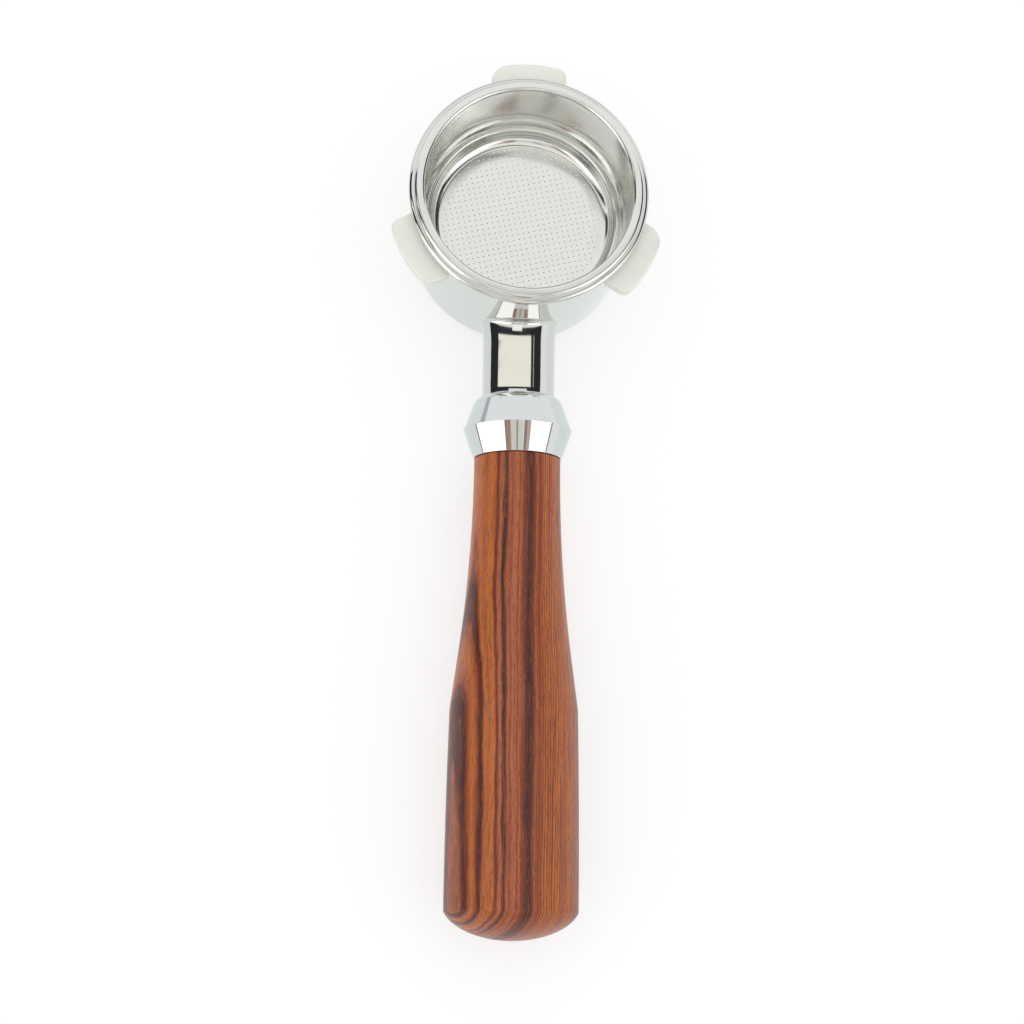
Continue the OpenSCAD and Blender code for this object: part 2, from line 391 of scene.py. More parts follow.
def neck_solid():
    """The neck with its root rounded as by a ball rolled between the neck and the ring."""
    root_steps, neck_steps, halvings = 14, 24, 50
    search_from, search_to, sunk = 20.0, 45.0, 0.03
    outline = densified(ring_outside() + [(OUTLET_R, -RING_DEPTH)], 0.5)
    origin = np.array(ON_AXIS.translation)
    across, up, along = (np.array(ON_AXIS.to_3x3().col[i]) for i in range(3))
    turns = np.arange(SEGMENTS) * 2 * math.pi / SEGMENTS
    spoke = np.cos(turns)[:, None] * across + np.sin(turns)[:, None] * up

    def neck_at(s):
        """Points of the neck at distance s along each spoke, and the normals there."""
        root, end = np.maximum(ROOT_FLARE_S - s, 0), np.maximum(s - END_FLARE_S, 0)
        radius = NECK_R + ROOT_FLARE * root ** 2 + END_FLARE * end ** 2
        slope = 2 * (END_FLARE * end - ROOT_FLARE * root)
        normal = spoke - slope[:, None] * along
        normal /= np.linalg.norm(normal, axis=1)[:, None]
        return origin + s[:, None] * along + radius[:, None] * spoke, normal

    def ball_centre(s):
        point, normal = neck_at(s)
        return point + ROOT_ROUND * normal

    def as_outline_points(points):
        return np.stack([np.hypot(points[:, 0], points[:, 1]), points[:, 2]], 1)

    low, high = np.full(SEGMENTS, search_from), np.full(SEGMENTS, search_to)
    for _ in range(halvings):
        middle = (low + high) / 2
        clear = nearest_on_outline(outline, as_outline_points(ball_centre(middle)))[1] > ROOT_ROUND
        low, high = np.where(clear, low, middle), np.where(clear, middle, high)
    centre = ball_centre(high)
    flat = as_outline_points(centre)
    touch, _ = nearest_on_outline(outline, flat)
    touch_points = np.stack([centre[:, 0] * touch[:, 0] / flat[:, 0],
                             centre[:, 1] * touch[:, 0] / flat[:, 0], touch[:, 1]], 1)
    to_ring = touch_points - centre
    to_ring /= np.linalg.norm(to_ring, axis=1)[:, None]
    to_neck = -neck_at(high)[1]
    inner = origin + NECK_BURIED_S * along + NECK_R * NECK_BURIED_SHARE * spoke
    rows = [inner, touch_points + sunk * to_ring]
    row_normals = [spoke, -to_ring]
    angle = np.arccos(np.clip((to_ring * to_neck).sum(1), -1, 1))
    for share in np.linspace(0, 1, root_steps + 1):
        blend = (np.sin((1 - share) * angle)[:, None] * to_ring
                 + np.sin(share * angle)[:, None] * to_neck) / np.sin(angle)[:, None]
        rows.append(centre + ROOT_ROUND * blend)
        row_normals.append(-blend)
    for i in range(1, neck_steps + 1):
        point, normal = neck_at(high + (FERRULE_START - high) * i / neck_steps)
        rows.append(point)
        row_normals.append(normal)
    for s in (FERRULE_START, NECK_END - NECK_CHAMFER):
        rows.append(origin + s * along + NECK_R * spoke)
        row_normals.append(spoke)
    rows.append(origin + NECK_END * along + (NECK_R - NECK_CHAMFER) * spoke)
    row_normals.append((spoke + along) / math.sqrt(2))
    count = len(rows)
    vertices = np.vstack(rows + [origin + NECK_BURIED_S * along, origin + NECK_END * along])
    start_pole, end_pole = count * SEGMENTS, count * SEGMENTS + 1
    faces, normals = [], []
    for i in range(count - 1):
        b = row_normals[i + 1]
        a = b if i == count - 2 else row_normals[i]
        for j in range(SEGMENTS):
            k = (j + 1) % SEGMENTS
            faces.append((i * SEGMENTS + j, i * SEGMENTS + k, (i + 1) * SEGMENTS + k, (i + 1) * SEGMENTS + j))
            normals += [a[j], a[k], b[k], b[j]]
    for j in range(SEGMENTS):
        k = (j + 1) % SEGMENTS
        faces.append((start_pole, k, j))
        normals += [-along] * 3
        faces.append((end_pole, (count - 1) * SEGMENTS + j, (count - 1) * SEGMENTS + k))
        normals += [along] * 3
    return mesh_object("neck", vertices, faces, np.array(normals))


def lug_outline():
    """The lug at the front, seen from above, counter-clockwise."""
    def corner(radius, side):
        x = LUG_W / 2 - radius
        return side * x, math.sqrt((LUG_R - radius) ** 2 - x * x)

    lead, tail = corner(LUG_LEAD_R, -1), corner(LUG_TAIL_R, 1)
    lead_angle = math.degrees(math.atan2(lead[1], lead[0]))
    tail_angle = math.degrees(math.atan2(tail[1], tail[0]))
    front = (arc(tail, LUG_TAIL_R, 0, tail_angle, 8)
             + arc((0, 0), LUG_R, tail_angle, lead_angle, 20)[1:-1]
             + arc(lead, LUG_LEAD_R, lead_angle, 180, 12))
    root_right = math.degrees(math.acos(LUG_W / 2 / LUG_ROOT_R))
    return front + arc((0, 0), LUG_ROOT_R, 180 - root_right, root_right, 12)


def lug_solid(turn):
    """One lug with rounded edges and a ramp under its leading end."""
    outline = lug_outline()
    ramp_start = -LUG_W / 2 + RAMP_LEN
    split = []
    for p, q in zip(outline, outline[1:] + outline[:1]):
        split.append(p)
        if (p[0] - ramp_start) * (q[0] - ramp_start) < 0:
            share = (ramp_start - p[0]) / (q[0] - p[0])
            split.append((ramp_start, p[1] + share * (q[1] - p[1])))
    bm = bmesh.new()
    foot = [LUG_TOP - LUG_T + RAMP_H * max(0, ramp_start - x) / RAMP_LEN for x, _ in split]
    upper = [bm.verts.new((x, y, LUG_TOP)) for x, y in split]
    lower = [bm.verts.new((x, y, z)) for (x, y), z in zip(split, foot)]
    bm.faces.new(upper)
    one, two = (i for i, p in enumerate(split) if abs(p[0] - ramp_start) < 1e-6)
    bm.faces.new([lower[i] for i in range(two, one - 1, -1)])
    bm.faces.new([lower[i % len(split)] for i in range(one + len(split), two - 1, -1)])
    for i in range(len(split)):
        j = (i + 1) % len(split)
        bm.faces.new((upper[i], lower[i], lower[j], upper[j]))
    bmesh.ops.recalc_face_normals(bm, faces=bm.faces)
    rim = [e for e in bm.edges
           if len(e.link_faces) == 2 and e.calc_face_angle() > LUG_SHARP_EDGE
           and max(math.hypot(*v.co.xy) for v in e.verts) > LUG_ROOT_R + LUG_EDGE]
    bmesh.ops.bevel(bm, geom=rim, offset=LUG_EDGE, segments=4, profile=0.5, affect="EDGES")
    bmesh.ops.scale(bm, vec=(MM,) * 3, verts=bm.verts)
    bmesh.ops.rotate(bm, matrix=Matrix.Rotation(turn, 3, "Z"), verts=bm.verts)
    mesh = bpy.data.meshes.new("lug")
    bm.to_mesh(mesh)
    bm.free()
    mesh.shade_smooth()
    mesh.set_sharp_from_angle(angle=SHARP_EDGE)
    keep_shaded_normals(mesh)
    satin = mesh.attributes.new(SATIN, "FLOAT", "CORNER")
    satin.data.foreach_set("value", np.ones(len(mesh.loops)))
    obj = bpy.data.objects.new("lug", mesh)
    bpy.context.scene.collection.objects.link(obj)
    return obj


def head_casting():
    core_r = OUTLET_R - 2
    blank = [(core_r, -RING_DEPTH), (core_r, RING_TOP)] + ring_outside()
    ring = lathe("head_casting_finish", densified(blank, LONGEST_STEP))
    ring.data.attributes.new(SATIN, "FLOAT", "CORNER")
    carve(ring, neck_solid(), "UNION")
    for i in range(LUG_COUNT):
        carve(ring, lug_solid(i * 2 * math.pi / LUG_COUNT), "UNION")
    carve(ring, lathe("ring_bore", ring_bore_outline()), "DIFFERENCE")
    carve(ring, threaded_rod("thread_cut", BORE_R, BORE_START, BORE_END, 0.5), "DIFFERENCE")
    apply_stored_normals(ring)
    satin = np.zeros(len(ring.data.loops))
    ring.data.attributes[SATIN].data.foreach_get("value", satin)
    first_corner = np.zeros(len(ring.data.polygons), int)
    ring.data.polygons.foreach_get("loop_start", first_corner)
    ring.data.materials.clear()
    ring.data.materials.append(polished_nickel())
    ring.data.materials.append(satin_nickel())
    ring.data.polygons.foreach_set("material_index", (satin[first_corner] > 0.5).astype(int))
    return ring


# ---------------------------------------------------------------- basket

def basket_inside():
    """The basket's inner side, from the lower edge of the rim to the edge of the flat floor."""
    return (
        [(RIM_R, -RIM_H)]
        + arc((RIM_R - RIM_ROUND, -RIM_ROUND), RIM_ROUND, 0, 90, 12)
        + arc((BASKET_R + MOUTH_ROUND, -MOUTH_ROUND), MOUTH_ROUND, 90, 180, 12)
        + arc((BASKET_R - WALL_ROUND, WALL_END), WALL_ROUND, 0, -WALL_TURN, 12)
        + arc((BEAD_R, BEAD_H - FLOOR_DEPTH), BEAD_ROUND, BEAD_TURN, 180, 16)
        + arc((BEAD_R - BEAD_ROUND - FLOOR_ROUND, FLOOR_ROUND - FLOOR_DEPTH), FLOOR_ROUND, 0, -90, 12)
    )


def hole_centres():
    reach = int(HOLE_FIELD_R / HOLE_PITCH) + 1
    c, s = math.cos(HOLE_TURN), math.sin(HOLE_TURN)
    for i in range(-reach, reach + 1):
        for j in range(-reach, reach + 1):
            x, y = HOLE_PITCH * (i * c - j * s), HOLE_PITCH * (i * s + j * c)
            if math.hypot(x, y) < HOLE_FIELD_R:
                yield x, y


def dish(radius, edge):
    """Height above the plate's edge and slope of its slightly dished sheet at a radius."""
    span = edge - DISH_START_R
    share = max(0.0, radius - DISH_START_R) / span
    return DISH_TILT * span / 3 * (share ** 3 - 1), DISH_TILT * share ** 2


def perforated_floor(top_edge, bottom_edge):
    """A round plate with a square field of holes through it, open at its outer edge."""
    radius = top_edge[0]
    turns = np.arange(SEGMENTS) * 2 * math.pi / SEGMENTS
    points = [(radius * math.cos(a), radius * math.sin(a)) for a in turns]
    edges = [(i, (i + 1) % SEGMENTS) for i in range(SEGMENTS)]
    holes = []
    for x, y in hole_centres():
        first = len(points)
        points += [(x + HOLE_R * math.cos(2 * math.pi * k / HOLE_SIDES),
                    y + HOLE_R * math.sin(2 * math.pi * k / HOLE_SIDES)) for k in range(HOLE_SIDES)]
        edges += [(first + k, first + (k + 1) % HOLE_SIDES) for k in range(HOLE_SIDES)]
        holes.append(range(first, first + HOLE_SIDES))
    _, _, triangles, originals, _, _ = delaunay_2d_cdt([Vector(p) for p in points], edges, [], 0, 1e-7)
    source = [o[0] for o in originals]
    hole_of = {member: number for number, members in enumerate(holes) for member in members}
    kept = []
    for triangle in triangles:
        owners = {hole_of.get(source[v], -1) for v in triangle}
        if len(owners) > 1 or owners == {-1}:
            kept.append(tuple(triangle))
    count = len(source)
    spread = bottom_edge[0] / radius
    vertices, lower, up = [], [], []
    for s in source:
        x, y = points[s]
        reach = math.hypot(x, y)
        height, slope = (0.0, DISH_TILT) if s < SEGMENTS else dish(reach, radius)
        scale = spread if s < SEGMENTS else 1
        vertices.append((x, y, top_edge[1] + height))
        lower.append((x * scale, y * scale, bottom_edge[1] + height))
        up.append((-slope * x / max(reach, 1e-6), -slope * y / max(reach, 1e-6), 1.0))
    vertices += lower
    faces = kept + [tuple(count + v for v in reversed(t)) for t in kept]
    normals = [up[v] for t in kept for v in t]
    normals += [tuple(-c for c in up[v]) for t in kept for v in reversed(t)]
    index_of = {s: i for i, s in enumerate(source)}
    for number, members in enumerate(holes):
        ring = [index_of[m] for m in members]
        for k in range(HOLE_SIDES):
            m = (k + 1) % HOLE_SIDES
            faces.append((ring[k], ring[m], count + ring[m], count + ring[k]))
            spokes = [(-math.cos(2 * math.pi * i / HOLE_SIDES), -math.sin(2 * math.pi * i / HOLE_SIDES), 0)
                      for i in (k, m)]
            normals += [spokes[0], spokes[1], spokes[1], spokes[0]]
    return vertices, faces, normals


def filter_basket():
    inside = densified(basket_inside(), LONGEST_STEP)
    outside = moved_left(inside + [(0, -FLOOR_DEPTH)], SHEET_T)[:-1]
    shell = turned(inside + outside[::-1], open_step=len(inside) - 1)
    plate = perforated_floor(inside[-1], outside[-1])
    first = len(shell[0])
    faces = shell[1] + [tuple(v + first for v in face) for face in plate[1]]
    vertices, faces = welded(np.vstack([shell[0], plate[0]]), faces)
    obj = mesh_object("filter_basket_finish", vertices, faces, np.array(shell[2] + plate[2]))
    obj.data.materials.append(stainless_sheet())
    return obj


# ---------------------------------------------------------------- ferrule, stud and wood

def tangent_angle(centre, radius, point):
    """Angle from the axis of the line through point that touches the circle on its outer side."""
    offset = (point[0] - centre[0], point[1] - centre[1])
    return math.degrees(math.atan2(*offset) - math.asin(radius / math.hypot(*offset)))


def rounded_corner(before, corner, after, radius):
    """The arc that rounds a corner between two points."""
    b, c, a = (np.array(p, float) for p in (before, corner, after))
    to_b, to_a = (b - c) / np.linalg.norm(b - c), (a - c) / np.linalg.norm(a - c)
    half = math.acos(float(np.clip(to_b @ to_a, -1, 1))) / 2
    middle = to_b + to_a
    centre = c + middle / np.linalg.norm(middle) * radius / math.sin(half)
    start, end = c + to_b * radius / math.tan(half), c + to_a * radius / math.tan(half)
    a0 = math.degrees(math.atan2(*(start - centre)[::-1]))
    a1 = math.degrees(math.atan2(*(end - centre)[::-1]))
    turn = (a1 - a0 + 180) % 360 - 180
    return arc(tuple(centre), radius, a0, a0 + turn, 6)


def ferrule():
    centre = (NECK_R - FERRULE_INSET, FERRULE_START + FERRULE_ROUND)
    cone = tangent_angle(centre, FERRULE_ROUND, (RIDGE_R, RIDGE_S))
    front = arc(centre, FERRULE_ROUND, -90, -cone, 20)
    mouth_r = NECK_R + FERRULE_CLEARANCE
    front = [p for p in front if p[0] > mouth_r + 0.02]
    mouth_s = centre[1] - math.sqrt(FERRULE_ROUND ** 2 - (mouth_r - centre[0]) ** 2)
    ridge, back, hole = (RIDGE_R, RIDGE_S), (FERRULE_BACK_R, FERRULE_END), (STUD_HOLE_R, FERRULE_END)
    seat = NECK_END + WASHER_T
    outline = ([(mouth_r, mouth_s)] + front + rounded_corner(front[-1], ridge, back, RIDGE_ROUND)
               + rounded_corner(ridge, back, hole, FERRULE_BACK_ROUND)
               + [hole, (STUD_HOLE_R, seat), (mouth_r, seat)])
    obj = lathe("handle_ferrule_finish", outline, ON_AXIS)
    obj.data.materials.append(chrome())
    return obj


def wood_outside():
    """Waist curve, straight flare, soft break, barrel curve, arris and rounded end."""
    waist = [(WOOD_R + WAIST_CURVE_R * (1 - math.cos(a)), WAIST_START + WAIST_CURVE_R * math.sin(a))
             for a in np.linspace(0, WAIST_ANGLE, 25)]
    break_r = waist[-1][0] + (BREAK_S - waist[-1][1]) * math.tan(WAIST_ANGLE)
    barrel_r = (ARRIS_S - BREAK_S) / math.sin(BARREL_ANGLE)
    start_r = break_r + BREAK_ROUND * (math.cos(BARREL_ANGLE) - math.cos(WAIST_ANGLE))
    start_s = BREAK_S + BREAK_ROUND * (math.sin(WAIST_ANGLE) - math.sin(BARREL_ANGLE))
    centre = (start_r - BREAK_ROUND * math.cos(BARREL_ANGLE), start_s + BREAK_ROUND * math.sin(BARREL_ANGLE))
    soft_break = arc(centre, BREAK_ROUND, -math.degrees(WAIST_ANGLE), -math.degrees(BARREL_ANGLE), 8)
    barrel = [(start_r + barrel_r * (math.cos(BARREL_ANGLE * (1 - share)) - math.cos(BARREL_ANGLE)),
               start_s + (ARRIS_S - start_s) * share) for share in np.linspace(0, 1, 17)]
    semi = DOME_H + DOME_OFFSET
    dome_r = barrel[-1][0] / math.sqrt(1 - (DOME_OFFSET / semi) ** 2)
    first = math.asin(DOME_OFFSET / semi)
    dome = [(dome_r * math.cos(a), ARRIS_S - DOME_OFFSET + semi * math.sin(a))
            for a in np.linspace(first, math.pi / 2, 33)]
    dome[-1] = (0.0, dome[-1][1])
    arris = rounded_corner(barrel[-2], barrel[-1], dome[1], ARRIS_ROUND)
    return waist + soft_break + barrel[1:-1] + arris + dome[1:]


def wooden_handle():
    edge = rounded_corner((0, WOOD_START), (WOOD_R, WOOD_START), (WOOD_R, WAIST_START), WOOD_EDGE)
    outline = (
        [(WOOD_BORE_R, WOOD_START)] + edge + wood_outside()
        + [(0, WOOD_BORE_END), (WOOD_BORE_R, WOOD_BORE_END)]
    )
    obj = lathe("wooden_handle_finish", densified(outline, LONGEST_STEP), ON_AXIS)
    obj.data.materials.append(rosewood())
    return obj


def handle_stud():
    obj = threaded_rod("handle_stud_finish", STUD_R, STUD_START, STUD_END, 1.2)
    obj.data.materials.append(zinc_steel())
    return obj


def basket_spring():
    """Sprung wire around the basket, open at the front, with rounded ends."""
    steps, sides, cap_rows = 160, 20, 5
    start, end = (math.pi / 2 + SPRING_OPENING / 2, math.pi * 5 / 2 - SPRING_OPENING / 2)
    caps = [math.pi / 2 * i / cap_rows for i in range(cap_rows)]
    rows = [(start - WIRE_R * math.cos(a) / SPRING_R, WIRE_R * math.sin(a)) for a in caps]
    rows += [(start + (end - start) * i / steps, WIRE_R) for i in range(steps + 1)]
    rows += [(end + WIRE_R * math.cos(a) / SPRING_R, WIRE_R * math.sin(a)) for a in reversed(caps)]
    vertices, faces = [], []
    for turn, r in rows:
        for k in range(sides):
            b = 2 * math.pi * k / sides
            out = SPRING_R + r * math.cos(b)
            vertices.append((out * math.cos(turn), out * math.sin(turn), GROOVE_Z + r * math.sin(b)))
    for i in range(len(rows) - 1):
        for k in range(sides):
            m = (k + 1) % sides
            faces.append((i * sides + k, i * sides + m, (i + 1) * sides + m, (i + 1) * sides + k)[::-1])
    obj = mesh_object("basket_spring_finish", vertices, faces)
    bm = bmesh.new()
    bm.from_mesh(obj.data)
    bmesh.ops.remove_doubles(bm, verts=bm.verts, dist=1e-6)
    bmesh.ops.recalc_face_normals(bm, faces=bm.faces)
    bm.to_mesh(obj.data)
    bm.free()
    obj.data.materials.append(spring_wire())
    return obj


# ---------------------------------------------------------------- node graphs

class Graph:
    """Adds nodes to a tree and joins them. An input is a number, a tuple or another node's output."""

    def __init__(self, tree):
        self.tree = tree
        tree.nodes.clear()

    def add(self, kind, inputs=None, output=0, **settings):
        node = self.tree.nodes.new("ShaderNode" + kind)
        for name, value in settings.items():
            setattr(node, name, value)
        for key, value in (inputs or {}).items():
            self.feed(node.inputs[key], value)
        return node.outputs[output]

    def feed(self, socket, value):
        if isinstance(value, bpy.types.NodeSocket):
            self.tree.links.new(value, socket)
        elif value is not None:
            socket.default_value = value

    def math(self, operation, a, b=None, c=None):
        return self.add("Math", {0: a, 1: b, 2: c}, operation=operation)

    def vector(self, operation, a, b=None, output=0):
        return self.add("VectorMath", {0: a, 1: b}, operation=operation, output=output)

    def ramp(self, value, stops):
        """Colour ramp from (position, colour) stops."""
        node = self.tree.nodes.new("ShaderNodeValToRGB")
        elements = node.color_ramp.elements
        while len(elements) > 1:
            elements.remove(elements[-1])
        for i, (position, colour) in enumerate(stops):
            element = elements[0] if i == 0 else elements.new(position)
            element.position = position
            element.color = (*colour, 1)
        self.feed(node.inputs[0], value)
        return node.outputs[0]

    def mix(self, share, a, b, blend="MIX"):
        node = self.tree.nodes.new("ShaderNodeMix")
        node.data_type = "RGBA"
        node.blend_type = blend
        self.feed(node.inputs["Factor"], share)
        self.feed(node.inputs["A"], (*a, 1) if isinstance(a, tuple) else a)
        self.feed(node.inputs["B"], (*b, 1) if isinstance(b, tuple) else b)
        return node.outputs["Result"]

    def noise(self, vector, scale, detail, roughness):
        inputs = {"Vector": vector, "Scale": scale, "Detail": detail, "Roughness": roughness}
        return self.add("TexNoise", inputs)

    def smooth(self, value, low, high, to_low=0.0, to_high=1.0):
        return self.add("MapRange", {"Value": value, "From Min": low, "From Max": high,
                                     "To Min": to_low, "To Max": to_high}, interpolation_type="SMOOTHSTEP")


def new_material(name, **sockets):
    """A principled material with constant sockets set on the shader. Returns it, its graph and shader."""
    material = bpy.data.materials.new(name)
    material.use_nodes = True
    graph = Graph(material.node_tree)
    shader = graph.tree.nodes.new("ShaderNodeBsdfPrincipled")
    for key, value in sockets.items():
        graph.feed(shader.inputs[key.replace("_", " ")], value)
    out = graph.tree.nodes.new("ShaderNodeOutputMaterial")
    graph.tree.links.new(shader.outputs[0], out.inputs["Surface"])
    return material, graph, shader


def millimetres(graph):
    """Position on the object at rest, in millimetres."""
    return graph.vector("MULTIPLY", graph.add("TexCoord", output="Object"), (1000, 1000, 1000))


def along_handle(graph):
    """Position in millimetres as (across, up, distance from the group's axis)."""
    place = Matrix.Rotation(-math.radians(90) - DROOP, 4, "X") @ Matrix.Translation((0, 0, NECK_DEPTH))
    return graph.add("Mapping", {
        "Vector": graph.add("TexCoord", output="Object"),
        "Location": tuple(place.translation),
        "Rotation": tuple(place.to_euler()),
        "Scale": (1 / MM,) * 3,
    })


# ---------------------------------------------------------------- metals

def metal(name, colour, roughness, spread, waviness, wave_scale=0.35):
    """Polished metal with faint smudges in its gloss and slow waves in its surface."""
    material, graph, shader = new_material(name, Metallic=1.0, Base_Color=(*colour, 1))
    place = millimetres(graph)
    smudge = graph.noise(place, 0.18, 4, 0.6)
    graph.feed(shader.inputs["Roughness"], graph.smooth(smudge, 0.35, 0.7, roughness, roughness + spread))
    waves = graph.noise(place, wave_scale, 1, 0.4)
    bump = graph.add("Bump", {"Strength": 1.0, "Distance": waviness * MM, "Height": waves})
    graph.feed(shader.inputs["Normal"], bump)
    return material


def polished_nickel():
    return metal("polished_nickel", (0.70, 0.70, 0.67), 0.035, 0.05, 0.012, 0.22)


def satin_nickel():
    """Blasted and plated faces: a fine tooth under a soft gloss."""
    material, graph, shader = new_material(
        "satin_nickel", Metallic=0.45, Base_Color=(0.86, 0.865, 0.80, 1))
    place = millimetres(graph)
    tooth = graph.noise(place, 9.0, 3, 0.6)
    cloud = graph.noise(place, 0.3, 3, 0.5)
    graph.feed(shader.inputs["Roughness"], graph.smooth(cloud, 0.3, 0.7, 0.42, 0.55))
    bump = graph.add("Bump", {"Strength": 0.35, "Distance": 0.02 * MM, "Height": tooth})
    graph.feed(shader.inputs["Normal"], bump)
    return material


def chrome():
    return metal("chrome_ferrule", (0.70, 0.72, 0.72), 0.03, 0.03, 0.004, 0.2)


def stainless_sheet():
    """Pressed sheet with faint polishing lines around it."""
    material, graph, shader = new_material(
        "stainless_sheet", Metallic=1.0, Base_Color=(0.76, 0.765, 0.735, 1))
    place = millimetres(graph)
    x, y, z = graph.add("SeparateXYZ", {0: place}).node.outputs
    radius = graph.math("SQRT", graph.math("ADD", graph.math("MULTIPLY", x, x), graph.math("MULTIPLY", y, y)))
    turn = graph.math("ARCTAN2", y, x)
    lines_at = graph.add("CombineXYZ", {0: graph.math("MULTIPLY", radius, 3.0),
                                        1: graph.math("MULTIPLY", turn, 0.8),
                                        2: graph.math("MULTIPLY", z, 3.0)})
    lines = graph.noise(lines_at, 1.0, 1, 0.5)
    cloud = graph.noise(place, 0.12, 2, 0.5)
    rough = graph.smooth(lines, 0.3, 0.7, 0.07, 0.12)
    rough = graph.math("ADD", rough, graph.smooth(cloud, 0.3, 0.7, 0.0, 0.04))
    wall = graph.math("MULTIPLY", graph.smooth(z, -1.0, -4.0), graph.smooth(z, -17.0, -11.0, 0.02, 0.13))
    rough = graph.math("ADD", rough, wall)
    rough = graph.math("SUBTRACT", rough, graph.smooth(radius, 21.0, 18.0, 0.0, 0.08))
    graph.feed(shader.inputs["Roughness"], rough)
    bump = graph.add("Bump", {"Strength": 0.4, "Distance": 0.0012 * MM, "Height": lines})
    graph.feed(shader.inputs["Normal"], bump)
    return material


def spring_wire():
    return metal("spring_wire", (0.55, 0.55, 0.54), 0.18, 0.12, 0.003)


def zinc_steel():
    return metal("zinc_steel", (0.63, 0.65, 0.68), 0.22, 0.15, 0.004, 0.8)


def brass():
    return metal("brass", (0.78, 0.57, 0.27), 0.2, 0.15, 0.004, 0.6)


# ---------------------------------------------------------------- wood

ORANGE = (0.52, 0.145, 0.028)
TAN = (0.40, 0.115, 0.045)
RED = (0.26, 0.048, 0.014)
BROWN = (0.17, 0.042, 0.018)
PURPLE = (0.085, 0.018, 0.016)
BLACK = (0.036, 0.012, 0.012)
STRIPE = (0.125, 0.026, 0.012)
STRIPE_PITCH = 0.85
LAYER_TILT = 0.45
RAMP_STOPS = 32

# Growth layers from the left to the right of the handle's top: (place, colour)
LAYERS = [
    (-22, BROWN), (-20.6, RED), (-19.6, BROWN), (-18.7, TAN), (-18.45, PURPLE), (-17.95, BLACK),
    (-17.6, RED), (-17.2, TAN), (-16.9, ORANGE), (-16.2, RED), (-16.0, PURPLE), (-15.5, BLACK), (-15.3, RED),
    (-15.0, ORANGE), (-14.4, TAN), (-14.0, ORANGE), (-13.2, ORANGE), (-12.9, RED), (-12.65, PURPLE),
    (-12.35, RED), (-12.1, TAN), (-11.55, TAN), (-11.3, BLACK), (-10.75, BLACK), (-10.5, RED),
    (-10.1, TAN), (-9.6, RED), (-9.2, TAN), (-8.2, TAN), (-7.9, RED), (-7.5, TAN), (-6.9, RED), (-6.3, BROWN),
    (-5.9, PURPLE), (-5.0, BLACK), (-4.2, PURPLE), (-3.6, BROWN), (-2.8, TAN), (-2.0, RED), (-1.0, TAN),
    (0.6, ORANGE), (1.8, TAN), (3.2, ORANGE), (4.6, ORANGE), (6.8, TAN), (8.4, ORANGE), (11.0, TAN),
    (14.0, RED), (20.0, BROWN),
]


def layer_tones(graph, layer):
    """The colour of a growth layer, from ramps of at most RAMP_STOPS stops joined end to end."""
    tones = None
    for first in range(0, len(LAYERS) - 1, RAMP_STOPS - 1):
        part = LAYERS[first:first + RAMP_STOPS]
        low, high = part[0][0], part[-1][0]
        share = graph.add("MapRange", {"Value": layer, "From Min": low, "From Max": high})
        piece = graph.ramp(share, [((q - low) / (high - low), c) for q, c in part])
        if tones is None:
            tones = piece
        else:
            tones = graph.mix(graph.math("GREATER_THAN", layer, low), tones, piece)
    return tones


